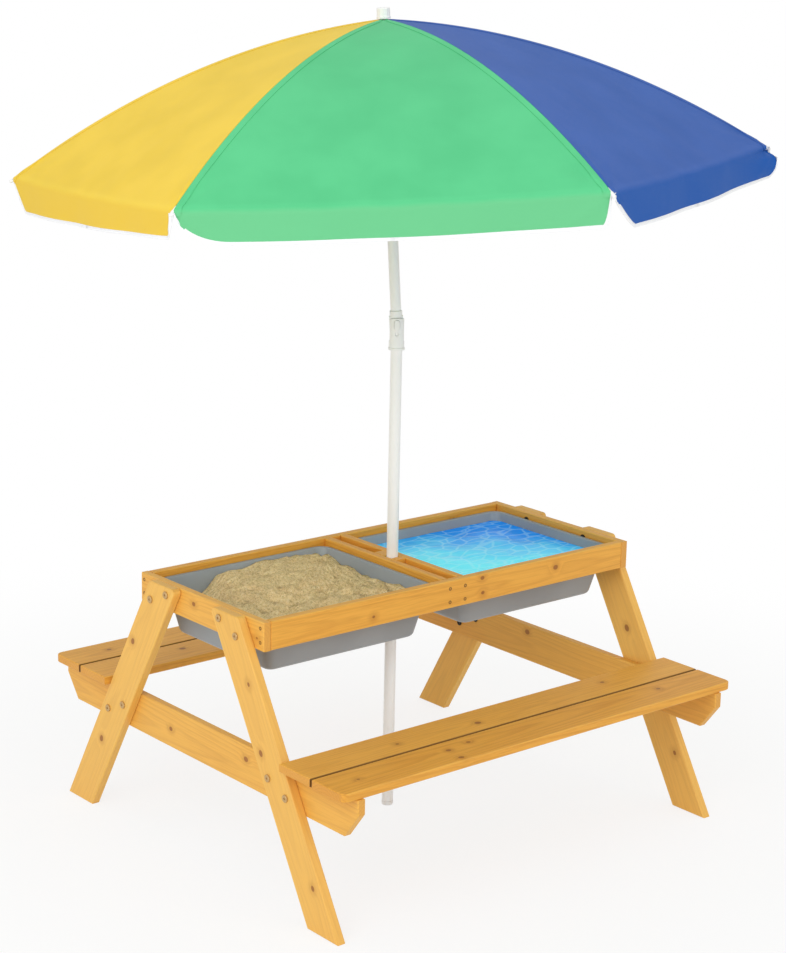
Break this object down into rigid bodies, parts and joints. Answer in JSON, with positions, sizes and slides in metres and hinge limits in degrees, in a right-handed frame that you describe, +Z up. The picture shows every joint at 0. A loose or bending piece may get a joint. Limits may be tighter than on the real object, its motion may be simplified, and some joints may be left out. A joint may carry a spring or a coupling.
{
  "type": "picnic table with sandbox",
  "caption": "Child's wooden picnic table with attached benches, a lift-out sand bin and water bin in its top, and a tilting, folding parasol through its middle.",
  "frame": {"origin": "on the floor, at the centre of the parasol pole's flat foot, under the middle of the table", "axes": "+Z up; X along the benches, with the sand bin at -X and the water bin at +X; the front bench is at -Y"},
  "size_m": [1.3035, 1.3759, 1.5364],
  "materials": {
    "wood": "honey-stained softwood, satin, small knots",
    "batten_wood": "honey-stained softwood batten, satin",
    "bolt_steel": "bronze-toned bolt with a flat round head",
    "bin_plastic": "grey moulded plastic, satin",
    "sand": "dry play sand",
    "water": "clear blue water",
    "white_plastic": "white moulded plastic",
    "white_metal": "white powder coat",
    "yellow_cloth": "yellow woven polyester",
    "green_cloth": "mint green woven polyester",
    "blue_cloth": "blue woven polyester"
  },
  "bodies": {
    "table": {"end_board_left": "wood", "end_board_right": "wood", "side_board_front": "wood", "side_board_back": "wood", "divider_left": "wood", "divider_right": "wood", "ledge_front": "batten_wood", "ledge_back": "batten_wood", "pole_block_front": "batten_wood", "pole_block_back": "batten_wood", "leg_front_left": "wood", "leg_back_left": "wood", "leg_front_right": "wood", "leg_back_right": "wood", "cross_rail_left": "wood", "cross_rail_right": "wood", "bench_front_inner_plank": "wood", "bench_front_outer_plank": "wood", "bench_back_inner_plank": "wood", "bench_back_outer_plank": "wood", "leg_bolt_front_left": "bolt_steel", "leg_bolt_back_left": "bolt_steel", "leg_bolt_front_right": "bolt_steel", "leg_bolt_back_right": "bolt_steel", "rail_bolt_front_left": "bolt_steel", "rail_bolt_back_left": "bolt_steel", "rail_bolt_front_right": "bolt_steel", "rail_bolt_back_right": "bolt_steel"},
    "sand_bin": {"sand_bin": "bin_plastic", "sand_fill": "sand"},
    "water_bin": {"water_bin": "bin_plastic", "water_fill": "water"},
    "pole_foot": {"pole_foot": "white_plastic"},
    "pole": {"lower_pole": "white_metal", "knuckle_socket": "white_plastic", "tilt_pin": "white_metal"},
    "tilt_button": {"tilt_button": "white_plastic"},
    "parasol_head": {"knuckle_tongue": "white_plastic", "upper_pole": "white_metal", "crown": "white_plastic", "top_cap": "white_plastic", "canopy_gore_yellow_front": "yellow_cloth", "canopy_gore_green_front": "green_cloth", "canopy_gore_blue_front": "blue_cloth", "canopy_gore_yellow_back": "yellow_cloth", "canopy_gore_green_back": "green_cloth", "canopy_gore_blue_back": "blue_cloth"},
    "runner": {"runner": "white_plastic"},
    "rib_1": {"rib_1": "white_metal"},
    "rib_2": {"rib_2": "white_metal"},
    "rib_3": {"rib_3": "white_metal"},
    "rib_4": {"rib_4": "white_metal"},
    "rib_5": {"rib_5": "white_metal"},
    "rib_6": {"rib_6": "white_metal"},
    "stretcher_1": {"stretcher_1": "white_metal"},
    "stretcher_2": {"stretcher_2": "white_metal"},
    "stretcher_3": {"stretcher_3": "white_metal"},
    "stretcher_4": {"stretcher_4": "white_metal"},
    "stretcher_5": {"stretcher_5": "white_metal"},
    "stretcher_6": {"stretcher_6": "white_metal"}
  },
  "joints": [
    {"name": "sand_bin_lift", "type": "slide", "parent": "table", "child": "sand_bin", "axis": [0, 0, 1], "range_m": [0, 0.15]},
    {"name": "water_bin_lift", "type": "slide", "parent": "table", "child": "water_bin", "axis": [0, 0, 1], "range_m": [0, 0.15]},
    {"name": "pole_lift", "type": "slide", "parent": "table", "child": "pole_foot", "axis": [0, 0, 1], "range_m": [0, 0.55]},
    {"name": "pole_turn", "type": "hinge", "parent": "pole_foot", "child": "pole", "pos_m": [0, 0, 0], "axis": [0, 0, 1], "continuous": true},
    {"name": "head_tilt", "type": "hinge", "parent": "pole", "child": "parasol_head", "pos_m": [0, 0, 0.941], "axis": [-0.632, -0.7749, 0], "range_deg": [-3.5, 16.5]},
    {"name": "tilt_button_press", "type": "slide", "parent": "pole", "child": "tilt_button", "axis": [0.632, 0.7749, 0], "range_m": [0, 0.003], "stiffness_N_per_m": 500, "springref_m": -0.002},
    {"name": "runner_slide", "type": "slide", "parent": "parasol_head", "child": "runner", "axis": [0.0473, -0.0386, -0.9981], "range_m": [0, 0.3775], "deforming": ["canopy_gore_yellow_front", "canopy_gore_green_front", "canopy_gore_blue_front", "canopy_gore_yellow_back", "canopy_gore_green_back", "canopy_gore_blue_back"]},
    {"name": "rib_1_hinge", "type": "hinge", "parent": "parasol_head", "child": "rib_1", "pos_m": [-0.0407, 0.0332, 1.5049], "axis": [-0.632, -0.7749, 0], "range_deg": [0, 63.4]},
    {"name": "stretcher_1_hinge", "type": "hinge", "parent": "rib_1", "child": "stretcher_1", "pos_m": [-0.22692, 0.18508, 1.43702], "axis": [0.632, 0.7749, 0], "range_deg": [0, 126.8]},
    {"name": "rib_2_hinge", "type": "hinge", "parent": "parasol_head", "child": "rib_2", "pos_m": [-0.04359, 0.01544, 1.50545], "axis": [0.3539, -0.9338, 0.0529], "range_deg": [0, 63.4]},
    {"name": "stretcher_2_hinge", "type": "hinge", "parent": "rib_2", "child": "stretcher_2", "pos_m": [-0.269, -0.0734, 1.44502], "axis": [-0.3539, 0.9338, -0.0529], "range_deg": [0, 126.8]},
    {"name": "rib_3_hinge", "type": "hinge", "parent": "parasol_head", "child": "rib_3", "pos_m": [-0.02967, 0.00408, 1.50655], "axis": [0.9859, -0.1589, 0.0529], "range_deg": [0, 63.4]},
    {"name": "stretcher_3_hinge", "type": "hinge", "parent": "rib_3", "child": "stretcher_3", "pos_m": [-0.06635, -0.23868, 1.46102], "axis": [-0.9859, 0.1589, -0.0529], "range_deg": [0, 126.8]},
    {"name": "rib_4_hinge", "type": "hinge", "parent": "parasol_head", "child": "rib_4", "pos_m": [-0.01286, 0.01049, 1.5071], "axis": [0.632, 0.7749, 0], "range_deg": [0, 63.4]},
    {"name": "stretcher_4_hinge", "type": "hinge", "parent": "rib_4", "child": "stretcher_4", "pos_m": [0.17839, -0.14549, 1.46901], "axis": [-0.632, -0.7749, 0], "range_deg": [0, 126.8]},
    {"name": "rib_5_hinge", "type": "hinge", "parent": "parasol_head", "child": "rib_5", "pos_m": [-0.00997, 0.02824, 1.50655], "axis": [-0.3539, 0.9338, -0.0529], "range_deg": [0, 63.4]},
    {"name": "stretcher_5_hinge", "type": "hinge", "parent": "rib_5", "child": "stretcher_5", "pos_m": [0.22047, 0.11299, 1.46102], "axis": [0.3539, -0.9338, 0.0529], "range_deg": [0, 126.8]},
    {"name": "rib_6_hinge", "type": "hinge", "parent": "parasol_head", "child": "rib_6", "pos_m": [-0.02389, 0.0396, 1.50545], "axis": [-0.9859, 0.1589, -0.0529], "range_deg": [0, 63.4]},
    {"name": "stretcher_6_hinge", "type": "hinge", "parent": "rib_6", "child": "stretcher_6", "pos_m": [0.01781, 0.27827, 1.44502], "axis": [0.9859, -0.1589, 0.0529], "range_deg": [0, 126.8]}
  ],
  "couplings": [
    {"joint": "rib_1_hinge", "follows": "runner_slide", "rad_per_m": 2.9261},
    {"joint": "rib_2_hinge", "follows": "runner_slide", "rad_per_m": 2.9261},
    {"joint": "rib_3_hinge", "follows": "runner_slide", "rad_per_m": 2.9261},
    {"joint": "rib_4_hinge", "follows": "runner_slide", "rad_per_m": 2.9261},
    {"joint": "rib_5_hinge", "follows": "runner_slide", "rad_per_m": 2.9261},
    {"joint": "rib_6_hinge", "follows": "runner_slide", "rad_per_m": 2.9261},
    {"joint": "stretcher_1_hinge", "follows": "runner_slide", "rad_per_m": 5.8522},
    {"joint": "stretcher_2_hinge", "follows": "runner_slide", "rad_per_m": 5.8522},
    {"joint": "stretcher_3_hinge", "follows": "runner_slide", "rad_per_m": 5.8522},
    {"joint": "stretcher_4_hinge", "follows": "runner_slide", "rad_per_m": 5.8522},
    {"joint": "stretcher_5_hinge", "follows": "runner_slide", "rad_per_m": 5.8522},
    {"joint": "stretcher_6_hinge", "follows": "runner_slide", "rad_per_m": 5.8522}
  ]
}
